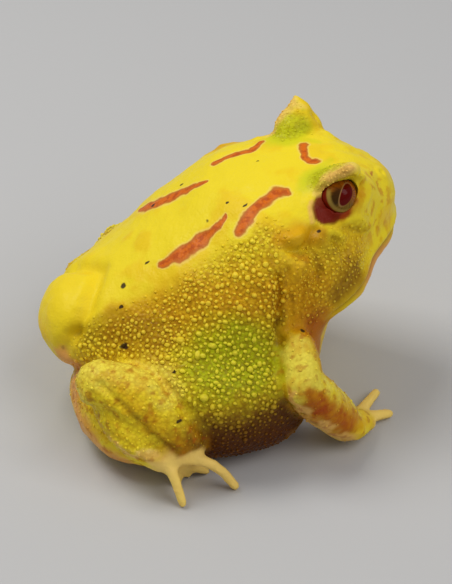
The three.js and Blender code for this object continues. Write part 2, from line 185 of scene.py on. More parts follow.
# %% [markdown]
# ## Floor and light
# A plain pale floor and a large soft lamp, high on the left and a little behind, give the broad highlights
# on the back and the soft shadow under the chin. A second lamp, further off on the right, and an even grey
# sky keep the shadows open.

# %% Floor and lamps
FLOOR_WIDTH = 6
SKY = (0.86, 0.86, 0.90)
SKY_STRENGTH = 0.34
# Each lamp: its name, azimuth and elevation, distance, size, power and colour.
LAMPS = [
    ("key_lamp", -126, 62, 0.9, 0.45, 4.7, (1, 0.99, 0.95)),
    ("fill_lamp", 38, 50, 1.2, 0.8, 5.2, (1, 0.98, 0.96)),
]

for name, azimuth, elevation, distance, size, power, tint in LAMPS:
    back = direction(azimuth, elevation)
    bpy.ops.object.light_add(
        type="AREA",
        location=CAMERA_TARGET + back * distance,
        rotation=(-back).to_track_quat("-Z", "Y").to_euler(),
    )
    lamp = bpy.context.object
    lamp.name = name
    lamp.data.size = size
    lamp.data.energy = power
    lamp.data.color = tint

sky = bpy.data.worlds.new("sky")
sky.use_nodes = True
sky.node_tree.nodes["Background"].inputs["Color"].default_value = (*SKY, 1)
sky.node_tree.nodes["Background"].inputs["Strength"].default_value = SKY_STRENGTH
bpy.context.scene.world = sky
bpy.context.scene.view_settings.view_transform = "Standard"

bpy.ops.mesh.primitive_plane_add(size=FLOOR_WIDTH)
floor = bpy.context.object
floor.name = "floor"

# %% [markdown]
# ## Skin
# The skin of a frog is loose and seamless: it runs from the trunk down each leg without a joint line.
# The solids meet across narrow gaps, so copies of them are grown until they touch, joined, and remeshed as
# one closed surface of small even squares. Then the growth is taken back, so that the skin stays true to
# the solids.

# %% One closed surface over all the flesh
GROWTH = 0.4 * MM
SKIN_CELL = 0.62 * MM
SAME_POINT = 0.001 * MM

flesh = sorted(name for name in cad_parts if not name.startswith("eye"))


def copy_of(node):
    copy = bpy.data.objects.new(node + "_copy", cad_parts[node].data.copy())
    bpy.context.collection.objects.link(copy)
    pick(copy)
    bpy.ops.object.mode_set(mode="EDIT")
    bpy.ops.mesh.select_all(action="SELECT")
    bpy.ops.mesh.remove_doubles(threshold=SAME_POINT)
    bpy.ops.mesh.customdata_custom_splitnormals_clear()
    bpy.ops.object.mode_set(mode="OBJECT")
    apply_modifier(copy, "DISPLACE", strength=GROWTH, mid_level=0)
    return copy


copies = [copy_of(node) for node in flesh]
pick(*copies)
bpy.ops.object.join()
skin = bpy.context.object
skin.name = skin.data.name = "skin"
skin.data.materials.clear()
apply_modifier(skin, "REMESH", mode="VOXEL", voxel_size=SKIN_CELL)
apply_modifier(skin, "DISPLACE", strength=-GROWTH, mid_level=0)
print("the skin has", len(skin.data.polygons), "faces")

# %% [markdown]
# ## Regions
# Many steps treat the trunk, the limbs and the horns differently. The distance from each point of the skin
# to each group of solids tells which region it is in, and where two regions meet.
# The fingers and toes begin a known way from the wrist and heel.

# %% Distances to the solids
GROUPS = {
    "trunk": ("torso", "jaw", "head"),
    "horns": ("horn",),
    "arms": ("upper_arm", "forearm"),
    "hands": ("hand",),
    "legs": ("shank", "thigh"),
    "feet": ("foot",),
}
WRIST = (21, 36, 6.5)
HEELS = ((-38.5, -28.5, 25), (-30.5, 32.5, 14))
HEEL_TO_TOES = (23.2, 16)
REGION_EDGE = (0.7, 2.2)  # millimetres from the solids between which a region fades out
FINGERS_BEGIN = (7, 11)  # millimetres from the wrist
TOES_BEGIN = (0.9, 1.05)  # shares of the way from heel to toes


def distance_to(places, beginnings):
    """Millimetres from each place to the nearest of the solids whose names begin like this."""
    corners, faces = [], []
    for name in flesh:
        if name.startswith(beginnings):
            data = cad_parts[name].data
            faces += [[len(corners) + index for index in face.vertices] for face in data.polygons]
            corners += [vertex.co.copy() for vertex in data.vertices]
    tree = BVHTree.FromPolygons(corners, faces)
    return np.array([tree.find_nearest(place)[3] for place in places]) / MM


places = points_of(skin)
apart = {group: distance_to(places, beginnings) for group, beginnings in GROUPS.items()}
within = {group: 1 - ramp(distance, *REGION_EDGE) for group, distance in apart.items()}
frog_places = in_frog_frame(places)
mirrored = frog_places * (1, 0, 1) + np.abs(frog_places) * (0, 1, 0)
from_wrist = np.linalg.norm(mirrored - WRIST, axis=1)
from_heel = [np.linalg.norm(frog_places - heel, axis=1) / reach for heel, reach in zip(HEELS, HEEL_TO_TOES)]
from_heel = np.where(frog_places[:, 1] < 0, *from_heel)
fingers = within["hands"] * ramp(from_wrist, *FINGERS_BEGIN)
toes = within["feet"] * ramp(from_heel, *TOES_BEGIN)
digits = np.maximum(fingers, toes)
limbs = np.maximum.reduce([within[group] for group in ("arms", "hands", "legs", "feet")])
print("on the digits lie", int((digits > 0.5).sum()), "of", len(places), "points")

# %% [markdown]
# ## Creases and smoothing
# Where a leg or arm meets the belly, loose skin folds in on itself and makes a dark crease. The skin is
# drawn in along those seams. Then all of it is smoothed, because the solids are made of flat facets.
# Smoothing thins whatever is slender, so it works only a little on the toes, fingers and horns.

# %% Draw in the seams and smooth
SEAM_WIDTH = 1.2
SMOOTH_FACTOR = 0.5
HELD_ROUNDS = 20
FREE_ROUNDS = 3
# How much the slender places are kept out of the smoothing.
DIGITS_KEPT = 0.93
HORNS_KEPT = 0.55
LIMBS_KEPT = 0.5
# Each seam: two regions and how deep the skin is drawn in between them.
SEAMS = [("arms", "trunk", 1.3), ("legs", "trunk", 1.3), ("feet", "trunk", 0.8),
         ("feet", "legs", 0.9), ("horns", "trunk", 0.35)]


def weigh(piece, name, weights):
    group = piece.vertex_groups.new(name=name)
    for index, weight in enumerate(weights):
        group.add([index], float(weight), "REPLACE")


drawn_in = np.zeros(len(places))
for first, second, depth in SEAMS:
    seam = bell(apart[first], SEAM_WIDTH) * bell(apart[second], SEAM_WIDTH)
    drawn_in = np.maximum(drawn_in, seam * depth)
push_out(skin, -drawn_in * (1 - digits))
kept = DIGITS_KEPT * digits + HORNS_KEPT * within["horns"] + LIMBS_KEPT * limbs * (1 - digits)
weigh(skin, "loose", 1 - kept)
apply_modifier(skin, "SMOOTH", factor=SMOOTH_FACTOR, iterations=HELD_ROUNDS, vertex_group="loose")
apply_modifier(skin, "SMOOTH", factor=SMOOTH_FACTOR, iterations=FREE_ROUNDS)
pick(skin)
bpy.ops.object.shade_smooth()

# %% [markdown]
# ## Folds and furrows
# A resting frog is wrinkled where its skin has to give: before the arm, under the cheek, round the rump and
# along the folded leg. Each fold is a line through a few places, with a depth and a width. A negative
# height makes a furrow and a positive one a ridge. Both sides of the frog get the same folds.

# %% Press in the furrows and raise the ridges
# Each line: its frame, its height, its half width and the places that it runs through on the left side.
FOLDS = [
    ("trunk", -2.2, 2.2, [(-33, 0, 39.2), (-35.3, 4.6, 37.7), (-38.2, 9.7, 34.4), (-41.9, 12, 29.5)]),
    ("trunk", -1.4, 2, [(-41.9, 12, 29.5), (-45, 11, 24)]),
    ("trunk", 0.7, 4.5, [(-43, 2, 33), (-43.5, 5.7, 31)]),
    ("trunk", -1.9, 1.1, [(4.9, 29, 49), (4.9, 30.4, 45.2), (4.2, 31.8, 41.3), (3.7, 33.8, 34.6)]),
    ("trunk", 1.1, 1.3, [(3, 30, 46), (2.4, 32, 40.2), (2, 33.7, 36)]),
    ("trunk", -1, 0.8, [(7.5, 28.4, 50), (7.8, 30.4, 45.5), (7.7, 31.7, 40.6), (8.1, 32.4, 36.6)]),
    ("trunk", -0.9, 0.8, [(11.7, 28.7, 48), (10.8, 30.4, 43.5), (9.8, 31.7, 38.7), (9, 33, 36.5)]),
    ("trunk", -0.8, 0.8, [(16.4, 27.3, 47.7), (14.1, 29.4, 43.7), (12, 31, 38.7)]),
    ("trunk", -0.9, 1, [(-39.7, 33.4, 28.8), (-35.4, 38, 24.7), (-32.6, 40.6, 21.1), (-25.1, 44.3, 13.9)]),
    ("trunk", 0.5, 0.8, [(-38.1, 38.6, 15.5), (-35.5, 41.1, 14.8), (-32.8, 42.6, 13.6), (-26.6, 45.2, 10.3)]),
    ("trunk", 0.6, 1.2, [(-24.8, 31.8, 28.7), (-21.9, 36.8, 26.8), (-19.2, 40.4, 23)]),
    ("head", -1, 1.6, [(-13.7, 23.7, 16.7), (-11.7, 25.4, 14), (-7.6, 23.4, 14.6)]),
    ("head", -0.8, 1.5, [(4.1, 20.5, 10.7), (0.6, 24.1, 8.4), (-2.8, 26.7, 5.7)]),
    ("head", 0.7, 1.1, [(5.2, 19.7, 12.8), (9.1, 17.5, 8.7), (11.1, 16.1, 9.4)]),
    ("head", 0.5, 2.2, [(16, 8, 17.5), (12, 9.5, 21)]),
    ("head", -1.8, 1.9, [(10, 17, 20.6), (9.8, 17.6, 24.4), (10.4, 14, 24.6)]),
    ("head", 0.5, 0.9, [(-0.8, 14.6, 23.8), (2.2, 16.1, 26.6), (5.4, 18, 28.8)]),
    ("head", -1.5, 1.2, [(0.8, 17, 23.2), (2.6, 17.8, 24.2), (4.4, 18.6, 25), (6.2, 19, 25.4)]),
    ("head", 0.5, 1, [(-4.6, 16, 21.8), (-5.2, 18.4, 18.6), (-3.8, 20.6, 15.4), (0.5, 21.4, 12.6)]),
    ("head", -0.7, 1.8, [(-1.6, 18, 19), (0.5, 19.4, 16.2), (4, 19.8, 14.8)]),
    ("head", 1, 1.1, [(3.2, 19.8, 15), (5.9, 19.5, 14.8), (7.8, 18.7, 12.6), (8.8, 17.9, 10.3)]),
    ("head", -0.9, 0.9, [(2, 20.6, 13.4), (5, 20, 12), (6.8, 19.2, 10)]),
    ("head", 1.3, 1.6, [(-12.4, 22.6, 17.6), (-9.8, 22, 17.4)]),
    ("head", -1.1, 1, [(-13.4, 24.2, 16.2), (-10.5, 24, 15), (-7.6, 22.6, 15.8), (-5.6, 21, 17)]),
    ("head", 1.3, 1.8, [(-5.2, 22.6, 14.6), (-3.2, 23.8, 11.2), (-2.4, 25, 8.6)]),
    ("head", -1.1, 1, [(-1.2, 21.8, 13), (0.4, 22.8, 10.4), (0.6, 24, 7)]),
    ("head", -1, 1, [(-8.6, 23.4, 14.8), (-7.6, 25, 11.4), (-8.4, 26.6, 8)]),
    ("head", 0.6, 1.5, [(-11.6, 25.6, 12.4), (-12.2, 27, 9)]),
    ("head", 0.5, 1.6, [(13.4, 12.6, 16.4), (15.6, 12.4, 11)]),
    ("head", -0.5, 1.4, [(11, 15.8, 14.6), (13.4, 14.2, 10.4), (12.4, 15.4, 6)]),
    ("head", 0.4, 1.3, [(12.6, 13.6, 20), (10.6, 15.6, 17)]),
    ("head", -0.5, 1.6, [(19, 0, 17), (14, 0, 20.6), (7, 0, 22.8)]),
]


def stretches(places, stops):
    """For each stretch of a line: its two stops, and each place's share of the way and distance from it."""
    for start, end in zip(np.array(stops[:-1]), np.array(stops[1:])):
        run = end[:3] - start[:3]
        share = np.clip((places - start[:3]) @ run / (run @ run), 0, 1)
        yield start, end, share, np.linalg.norm(places - start[:3] - share[:, None] * run, axis=1)


def distance_to_line(places, stops):
    return np.minimum.reduce([away for *_, away in stretches(places, stops)])


def folded_places(where):
    """Places of the skin's points in a frame, with both sides laid over the left one."""
    local = in_head_frame(points_of(skin)) if where == "head" else in_frog_frame(points_of(skin))
    local[:, 1] = np.abs(local[:, 1])
    return local


folded = {where: folded_places(where) for where in ("trunk", "head")}
raised = np.zeros(len(places))
for where, height, width, stops in FOLDS:
    raised += height * bell(distance_to_line(folded[where], stops), width)
push_out(skin, raised * (1 - digits))

# %% [markdown]
# ## Unevenness
# Living skin is never a perfect egg. Three sizes of noise, from broad swellings to small bumps, are added to
# the skin as real height. It is a fraction of a millimetre, and the fingers and toes get least of it.

# %% Broad, middle and fine unevenness
UNEVENNESS = ((11, 0.45), (4.5, 0.2), (1.8, 0.1))  # pairs of size and height
SPARED_DIGITS = 0.85
SPARED_HORNS = 0.5

local = in_frog_frame(points_of(skin))
uneven = np.zeros(len(local))
for size, height in UNEVENNESS:
    uneven += height * np.array([noise.noise(Vector(place) / size) for place in local])
push_out(skin, uneven * (1 - SPARED_DIGITS * digits) * (1 - SPARED_HORNS * within["horns"]))
print("the skin is uneven by up to", round(float(np.abs(uneven).max()), 2), "mm")

# %% [markdown]
# ## Mouth, lips and nostrils
# The mouth of a horned frog is very wide and its line runs far back under the eye. Cutting it open would
# leave a thin slot, so the line is pressed into the skin instead, between two rolled lips.
# The nostrils are two small pits with a raised rim, high on the short snout.

# %% Press in the mouth line and nostrils
MOUTH_FRONT = 16.5
MOUTH_BACK = -9
MOUTH_END = 6
MOUTH_DROP = 4
DROP_LENGTH = 21.5
LONGEST_DROP = 1.6
MOUTH_REACH = 6
LINE_DEPTH = 0.75
LINE_WIDTH = 0.6
LIP_RISE = 0.45
LIP_WIDTH = 1.1
LINE_TO_LIP = 1.7
NOSTRIL = (18.6, 5.2, 14.2)
NOSTRIL_DEPTH = 1.1
NOSTRIL_RADIUS = 0.8
RIM_RISE = 0.4
RIM_RADIUS = 1.6
RIM_WIDTH = 0.6


def mouth_level(x):
    return -MOUTH_DROP * np.clip((MOUTH_FRONT - x) / DROP_LENGTH, 0, LONGEST_DROP) ** 2


folded = {where: folded_places(where) for where in ("trunk", "head")}
x, y, z = folded["head"].T
above_line = z - mouth_level(x)
in_mouth = ramp(x, MOUTH_BACK, MOUTH_BACK + MOUTH_END) * (np.abs(above_line) < MOUTH_REACH)
lips = LIP_RISE * bell(np.abs(above_line) - LINE_TO_LIP, LIP_WIDTH)
raised = (lips - LINE_DEPTH * bell(above_line, LINE_WIDTH)) * in_mouth
from_nostril = np.linalg.norm(folded["head"] - NOSTRIL, axis=1)
raised += RIM_RISE * bell(from_nostril - RIM_RADIUS, RIM_WIDTH)
raised -= NOSTRIL_DEPTH * bell(from_nostril, NOSTRIL_RADIUS)
push_out(skin, raised)

# %% [markdown]
# ## Where the skin is granular
# The back is almost smooth. The flanks are packed with round warts, and the cheeks, thighs and arms carry
# smaller ones. One number for each point of the skin tells how granular it is there. It is kept as an
# attribute, because both the warts and the finish read it. The orange marks of the back stay smooth.

# %% Marks and granular regions
# Pairs are the millimetres between which a region fades in or out.
FAR_SIDE_SMOOTH = 9.5  # how much lower the granular flank begins on the left side
FLANK_START = (16, 22)
FLANK_FRONT = (3, 12)
FLANK_BACK = (-45, -40)
RUMP = -18  # behind it the granular skin climbs higher
RUMP_RISE = 0.3
CHEEK_SIDE = (15, 22)
CHEEK_TOP = (11, 17)
CHEEK_FOOT = (1.5, 4)
LEG_TOP = (9, 16)
HORN_FRONT = (6.5, 8.5)
MARK_MARGIN = (2.2, 4)
LOW_TOP = (9, 29)
LOW_SIDE = (12, 26)
# How granular the cheeks, legs and horns are, and how strong the painted shade on the lowest skin is.
CHEEK_SHARE = 0.75
LEG_SHARE = 0.6
HORN_SHARE = 0.5
LOW_SHADE_SHARE = 0.95

# Each mark: stops of (x, y, z, width) in the frog's frame. Negative y is its right side.
MARKS = {
    "head": [(21, 4, 63.8, 2.9), (20, -0.4, 63.9, 2), (20.3, -3.1, 63.7, 2), (21.6, -3.6, 63.8, 2.3)],
    "right_front": [(11.8, -12.2, 61.7, 2.4), (9.4, -11.6, 61.5, 3.2), (6.7, -12.9, 60.7, 2.8),
                    (3, -14.5, 59.1, 2.6), (0.3, -16.2, 57.5, 3), (-1.1, -17.6, 56, 3.2)],
    "right_back": [(-3.7, -11.8, 56.6, 1.4), (-6.3, -12.9, 54.6, 2.4), (-10.1, -13.1, 51.9, 3.8),
                   (-15.1, -13.1, 48.7, 4.2), (-19.7, -11.3, 45.8, 2.2)],
    "left_front": [(11.9, 10.3, 62.6, 1.8), (8.5, 8.6, 62, 2.4), (4.9, 9.4, 61, 2.4), (-0.3, 9.5, 59.1, 2.2)],
    "left_back": [(-4.5, 3.4, 57.7, 1.4), (-7.9, 5.1, 55.3, 2.8), (-12.5, 7.7, 51.8, 3.6),
                  (-16.9, 11.3, 48.1, 3.8), (-18.7, 14.7, 45.1, 2.2)],
}

local = in_frog_frame(points_of(skin))
far_shift = FAR_SIDE_SMOOTH * ramp(local[:, 1], 0, 6)
x, y, z = folded["trunk"].T
head_x, head_y, head_z = folded["head"].T
from_mouth = head_z - mouth_level(head_x)
out_from_middle = y - far_shift + RUMP_RISE * np.maximum(RUMP - x, 0)
flank = ramp(out_from_middle, *FLANK_START) * (1 - ramp(x, *FLANK_FRONT)) * ramp(x, *FLANK_BACK)
cheek = ramp(x, *FLANK_FRONT) * ramp(head_y, *CHEEK_SIDE) * (1 - ramp(head_z, *CHEEK_TOP))
cheek *= ramp(from_mouth, *CHEEK_FOOT)
granular = np.maximum(flank, CHEEK_SHARE * cheek) * (1 - limbs)
leg_top = limbs * (1 - digits) * ramp(z, *LEG_TOP) * (1 - 0.5 * within["arms"])
granular = np.maximum(granular, LEG_SHARE * leg_top)
granular = np.maximum(granular, HORN_SHARE * within["horns"] * (1 - ramp(head_x, *HORN_FRONT)))
to_marks = np.minimum.reduce([distance_to_line(local, stops) for stops in MARKS.values()])
granular *= ramp(to_marks, *MARK_MARGIN)
# Painted shade: how much the lowest skin of the trunk, away from the limbs, is darkened.
low_shade = LOW_SHADE_SHARE * (1 - ramp(z, *LOW_TOP)) * (1 - limbs) * ramp(y, *LOW_SIDE)
REGION_MAPS = {"granular": granular, "horns": within["horns"], "low_shade": low_shade}
for name, values in REGION_MAPS.items():
    set_attribute(skin, name, values)

# %% [markdown]
# ## Warts
# Each wart is a low dome with a flared foot, so that it seems to grow out of the skin. Sculpting thousands of
# them into the skin would need far finer squares; small separate domes keep it light. One is modelled here.

# %% One dome
FLARE = 0.75
DOME_FOOT = -0.15  # where the ball is cut, in radii
DOME_HEIGHT = 0.8

bpy.ops.object.select_all(action="DESELECT")
bpy.ops.mesh.primitive_uv_sphere_add(segments=7, ring_count=5, radius=1)
dome = bpy.context.object
bpy.ops.object.mode_set(mode="EDIT")
bpy.ops.mesh.select_all(action="SELECT")
bpy.ops.mesh.bisect(plane_co=(0, 0, DOME_FOOT), plane_no=(0, 0, 1), clear_inner=True, use_fill=True)
bpy.ops.mesh.select_all(action="SELECT")
bpy.ops.transform.resize(value=(1, 1, DOME_HEIGHT))
bpy.ops.object.mode_set(mode="OBJECT")
dome_points = points_of(dome)
dome_points[:, :2] *= 1 + FLARE * np.clip(0.6 - dome_points[:, 2:], 0, 0.7)
dome_faces = [list(face.vertices) for face in dome.data.polygons]
bpy.data.objects.remove(dome)

# %% [markdown]
# ## Places for the warts
# Points of the skin are picked at random but at even distances. The warts stand closer and grow larger on the
# flank than on the cheeks and legs, and a few grow much larger. None stand on the digits or close to an eye.

# %% Pick the places
SEED = 7
rng = np.random.default_rng(SEED)
LARGE_SHARE = 0.03
LARGE_GROWTH = 1.5
WIDEST = 2.1  # between two warts, in millimetres
CLOSEST = 0.9
LOWEST = 4
EYE_MARGIN = 8
LEAST_GRANULAR = 0.12
WART_RADIUS = 0.22
FLANK_EXTRA = 0.18


def even_seeds(places, spacing):
    """Points picked at random, none closer to another than the spacing at its place."""
    cell = spacing.max()
    taken, grid = [], {}
    for index in rng.permutation(len(places)):
        place = places[index]
        key = tuple(np.floor(place / cell).astype(int))
        near = (other for i in (-1, 0, 1) for j in (-1, 0, 1) for k in (-1, 0, 1)
                for other in grid.get((key[0] + i, key[1] + j, key[2] + k), ()))
        if all(np.sum((places[other] - place) ** 2) > spacing[index] ** 2 for other in near):
            taken.append(index)
            grid.setdefault(key, []).append(index)
    return np.array(taken)


places = points_of(skin)
normals = normals_of(skin)
clumps = np.array([noise.noise(Vector(place) / 6) for place in folded["trunk"]])
spacing = (WIDEST - 0.95 * granular - 0.3 * cheek - 0.8 * within["horns"]) * (1 + 0.5 * clumps) + 0.4 * limbs
spacing = np.maximum(spacing, CLOSEST)
from_eye = np.linalg.norm(folded["head"] - np.array(EYE_PLACE), axis=1)
clear_of_eye = (from_eye > EYE_MARGIN) | (within["horns"] > 0.9)
eligible = (granular > LEAST_GRANULAR) & (z > LOWEST) & (digits < 0.2) & clear_of_eye
eligible = np.nonzero(eligible)[0]
seeds = eligible[even_seeds(places[eligible] / MM, spacing[eligible])]
sizes = WART_RADIUS + FLANK_EXTRA * flank * (1 - limbs) * ramp(z, 8, 20)
sizes += 0.04 * cheek - 0.05 * within["horns"]
radii = sizes[seeds] * (0.75 + 0.75 * rng.random(len(seeds)) ** 2)
radii *= np.where(rng.random(len(seeds)) < LARGE_SHARE * flank[seeds], LARGE_GROWTH, 1)
print(len(seeds), "warts")

# %% [markdown]
# ## All the warts as one mesh
# Each place gets a copy of the dome that stands along the skin's normal and is stretched a little.

# %% Copies of the dome over the skin
outward = normals[seeds]
aside = np.cross(outward, (0.3, 0.5, 0.81))
aside /= np.linalg.norm(aside, axis=1, keepdims=True)
across = np.cross(outward, aside)
stretch = 0.75 + 0.55 * rng.random((len(seeds), 3))
axes = np.stack([aside, across, outward], 1) * stretch[:, :, None]
copies = np.einsum("pk,nkc->npc", dome_points, axes) * (radii * MM)[:, None, None]
copies += places[seeds][:, None]
per_dome = len(dome_points)
faces = [[corner + n * per_dome for corner in face] for n in range(len(seeds)) for face in dome_faces]
wart_mesh = bpy.data.meshes.new("warts")
wart_mesh.from_pydata(copies.reshape(-1, 3), [], faces)
warts = bpy.data.objects.new("warts", wart_mesh)
bpy.context.collection.objects.link(warts)
set_attribute(warts, "wart", np.tile(ramp(dome_points[:, 2], 0.1, 0.8), len(seeds)))
for name, values in REGION_MAPS.items():
    set_attribute(warts, name, np.repeat(values[seeds], per_dome))
pick(warts)
bpy.ops.object.shade_smooth()

# %% [markdown]
# ## Eyes
# Each eye is a ball with a clear bulge over the pupil, like the cornea of a real eye. It stands high on the
# side of the head and looks outwards, upwards and a little ahead. It fills the gap that the solids leave
# round the eye, so that the lids lie against it.

# %% Two eyeballs
EYE_RADIUS = 5.0
CORNEA_REACH = 3.2
CORNEA_RISE = 0.35
GAZE = Vector((1.1, 4.0, 2.3)).normalized()  # on the left side, in the head's frame
LONG_AXIS = Vector((3.2, -2.0, 3.1))  # along the slit of the pupil


def pupil_frame(side):
    """The turn that takes X along the pupil and Z along the gaze."""
    gaze = Vector((GAZE.x, side * GAZE.y, GAZE.z))
    along = Vector((LONG_AXIS.x, side * LONG_AXIS.y, LONG_AXIS.z))
    along = (along - gaze * along.dot(gaze)).normalized()
    turn = Matrix((along, gaze.cross(along), gaze)).transposed()
    return head_turn.to_3x3() @ turn


eyeballs = {}
for name, side in (("right", -1), ("left", 1)):
    bpy.ops.mesh.primitive_uv_sphere_add(segments=48, ring_count=32, radius=EYE_RADIUS * MM)
    ball = bpy.context.object
    ball.name = ball.data.name = "eyeball_" + name
    points = points_of(ball)
    off_axis = np.linalg.norm(points[:, :2], axis=1) / MM
    bulge = CORNEA_RISE * MM * (1 - ramp(off_axis, 0, CORNEA_REACH)) * (points[:, 2] > 0)
    points[:, 2] += bulge
    ball.data.vertices.foreach_set("co", points.ravel())
    ball.matrix_world = Matrix.Translation(centre_of("eye_" + name)) @ pupil_frame(side).to_4x4()
    pick(ball)
    bpy.ops.object.transform_apply(location=True, rotation=True, scale=True)
    bpy.ops.object.shade_smooth()
    eyeballs[name] = ball

# %% [markdown]
# ## Node helpers
# A material is a tree of nodes. One helper adds a node with its settings and feeds its inputs, and one makes
# a group with named inputs and outputs, so that an effect is built once and used with other values.

# %% Nodes and groups
def add_node(tree, kind, inputs=(), **settings):
    node = tree.nodes.new("ShaderNode" + kind)
    for name, value in settings.items():
        setattr(node, name, value)
    for key, value in dict(inputs).items():
        if isinstance(value, bpy.types.NodeSocket):
            tree.links.new(value, node.inputs[key])
        else:
            node.inputs[key].default_value = value
    return node


def new_group(name, inputs, outputs):
    group = bpy.data.node_groups.new(name, "ShaderNodeTree")
    for title, kind in inputs.items():
        group.interface.new_socket(title, in_out="INPUT", socket_type="NodeSocket" + kind)
    for title, kind in outputs.items():
        group.interface.new_socket(title, in_out="OUTPUT", socket_type="NodeSocket" + kind)
    entry = group.nodes.new("NodeGroupInput")
    leave = group.nodes.new("NodeGroupOutput")
    return group, entry.outputs, leave.inputs


def maths(tree, operation, *values):
    return add_node(tree, "Math", dict(enumerate(values)), operation=operation).outputs[0]


def vector_maths(tree, operation, *values, result="Vector"):
    node = add_node(tree, "VectorMath", dict(enumerate(values)), operation=operation)
    return node.outputs[result]


def step(tree, value, low, high, start=0.0, end=1.0):
    inputs = {"Value": value, "From Min": low, "From Max": high, "To Min": start, "To Max": end}
    return add_node(tree, "MapRange", inputs, interpolation_type="SMOOTHSTEP").outputs["Result"]


def mixed(tree, share, below, above, blend="MIX"):
    """The colour below, with the colour above laid over it by the share."""
    inputs = {0: share, 6: below, 7: above}
    return add_node(tree, "Mix", inputs, data_type="RGBA", blend_type=blend).outputs[2]


def use_group(tree, group, **inputs):
    node = tree.nodes.new("ShaderNodeGroup")
    node.node_tree = group
    for title, value in inputs.items():
        socket = node.inputs[title.replace("_", " ")]
        if isinstance(value, bpy.types.NodeSocket):
            tree.links.new(value, socket)
        else:
            socket.default_value = value
    return node.outputs


def in_millimetres(tree, place, zero, turn=(0, 0, 0)):
    inputs = {"Vector": place, "Location": zero, "Rotation": turn, "Scale": (MM,) * 3}
    return add_node(tree, "Mapping", inputs, vector_type="TEXTURE").outputs["Vector"]


def new_material(name):
    material = bpy.data.materials.new(name)
    material.use_nodes = True
    tree = material.node_tree
    place = add_node(tree, "TexCoord").outputs["Object"]
    return material, tree, tree.nodes["Principled BSDF"], place


def attribute(tree, name):
    return add_node(tree, "Attribute", attribute_name=name).outputs["Fac"]


def least_of(tree, numbers):
    """The smallest of several numbers. Each is built only when its turn comes."""
    return reduce(lambda least, number: maths(tree, "MINIMUM", least, number), numbers)


# %% [markdown]
# ## Patches and strokes
# The marks of a frog lie at real places on the body. A stroke is a capsule between two points, with its own
# width at each end; it gives the distance from its middle line, told in half widths, so that one stroke can
# have a core, an edge and a rim. A patch is a soft ellipsoid; the iris has one.

# %% Soft patch and stroke
patch_group, entry, leave = new_group(
    "soft_patch",
    {"Place": "Vector", "Centre": "Vector", "Radii": "Vector", "Softness": "Float"},
    {"Mask": "Float"},
)
tree = patch_group
apart_by = vector_maths(tree, "SUBTRACT", entry["Place"], entry["Centre"])
scaled = vector_maths(tree, "DIVIDE", apart_by, entry["Radii"])
reach = vector_maths(tree, "LENGTH", scaled, result="Value")
inner = maths(tree, "SUBTRACT", 1.0, entry["Softness"])
outer = maths(tree, "ADD", 1.0, entry["Softness"])
tree.links.new(step(tree, reach, inner, outer, 1.0, 0.0), leave["Mask"])

stroke_group, entry, leave = new_group(
    "soft_stroke",
    {"Place": "Vector", "Start": "Vector", "End": "Vector", "Start Width": "Float", "End Width": "Float"},
    {"Reach": "Float"},
)
tree = stroke_group
run = vector_maths(tree, "SUBTRACT", entry["End"], entry["Start"])
apart_by = vector_maths(tree, "SUBTRACT", entry["Place"], entry["Start"])
forward = vector_maths(tree, "DOT_PRODUCT", apart_by, run, result="Value")
whole = vector_maths(tree, "DOT_PRODUCT", run, run, result="Value")
share = add_node(tree, "Clamp", {"Value": maths(tree, "DIVIDE", forward, whole)}).outputs[0]
along = add_node(tree, "VectorMath", {0: run, "Scale": share}, operation="SCALE").outputs["Vector"]
distance = vector_maths(tree, "DISTANCE", apart_by, along, result="Value")
widths = {"Value": share, "To Min": entry["Start Width"], "To Max": entry["End Width"]}
width = add_node(tree, "MapRange", widths).outputs["Result"]
tree.links.new(maths(tree, "DIVIDE", distance, maths(tree, "MULTIPLY", width, 0.5)), leave["Reach"])


def stroke_reach(tree, place, stops):
    """The reach of the nearest stroke through stops of (x, y, z, width)."""
    return least_of(tree, (
        use_group(tree, stroke_group, Place=place, Start=start[:3], End=end[:3],
                  Start_Width=start[3], End_Width=end[3])["Reach"]
        for start, end in zip(stops, stops[1:])
    ))


# %% [markdown]
# ## Colours and markings of the skin
# The ground colour is lemon yellow. Over it lie the green of the flank, a brown painted shade lower down, the
# pink of the lips and rump and the maroon below the eye. Painted shade also darkens the furrows, the chest
# under the chin and the skin under the lid's edge. Both sides of the frog get the same layers, apart from one
# in the frame called left. The dark specks differ from side to side, so they have their own list.

# %% Palette and layers
LEMON = (0.88, 0.69, 0.02, 1)
PALE_LEMON = (0.90, 0.77, 0.08, 1)
GOLD = (0.84, 0.54, 0.01, 1)
LIME = (0.48, 0.54, 0.004, 1)
OLIVE = (0.36, 0.22, 0.002, 1)
OCHRE = (0.66, 0.30, 0.002, 1)
# Umber is used mostly as painted shade: low on the flank, in furrows and along the mouth line.
UMBER = (0.17, 0.055, 0.001, 1)
RUSSET = (0.40, 0.055, 0.002, 1)
MAROON = (0.17, 0.008, 0.0005, 1)
LID_EDGE_SHADOW = (0.40, 0.11, 0.003, 1)
CREAM = (1.0, 0.70, 0.18, 1)
PINK = (0.80, 0.34, 0.12, 1)
LID_TAN = (0.90, 0.64, 0.12, 1)
PEACH = (0.86, 0.50, 0.12, 1)
ORANGE = (0.70, 0.15, 0.006, 1)
DEEP_RED = (0.48, 0.08, 0.006, 1)
CHARTREUSE = (0.62, 0.62, 0.01, 1)
LOW_SHADE_TINT = (0.40, 0.20, 0.08, 1)
PALE_RIM = (0.90, 0.62, 0.20, 1)
PALE_WART = (0.93, 0.72, 0.05, 1)
GAP_PAINTED_SHADE = (0.62, 0.50, 0.35, 1)
SPECK = (0.03, 0.012, 0.006, 1)

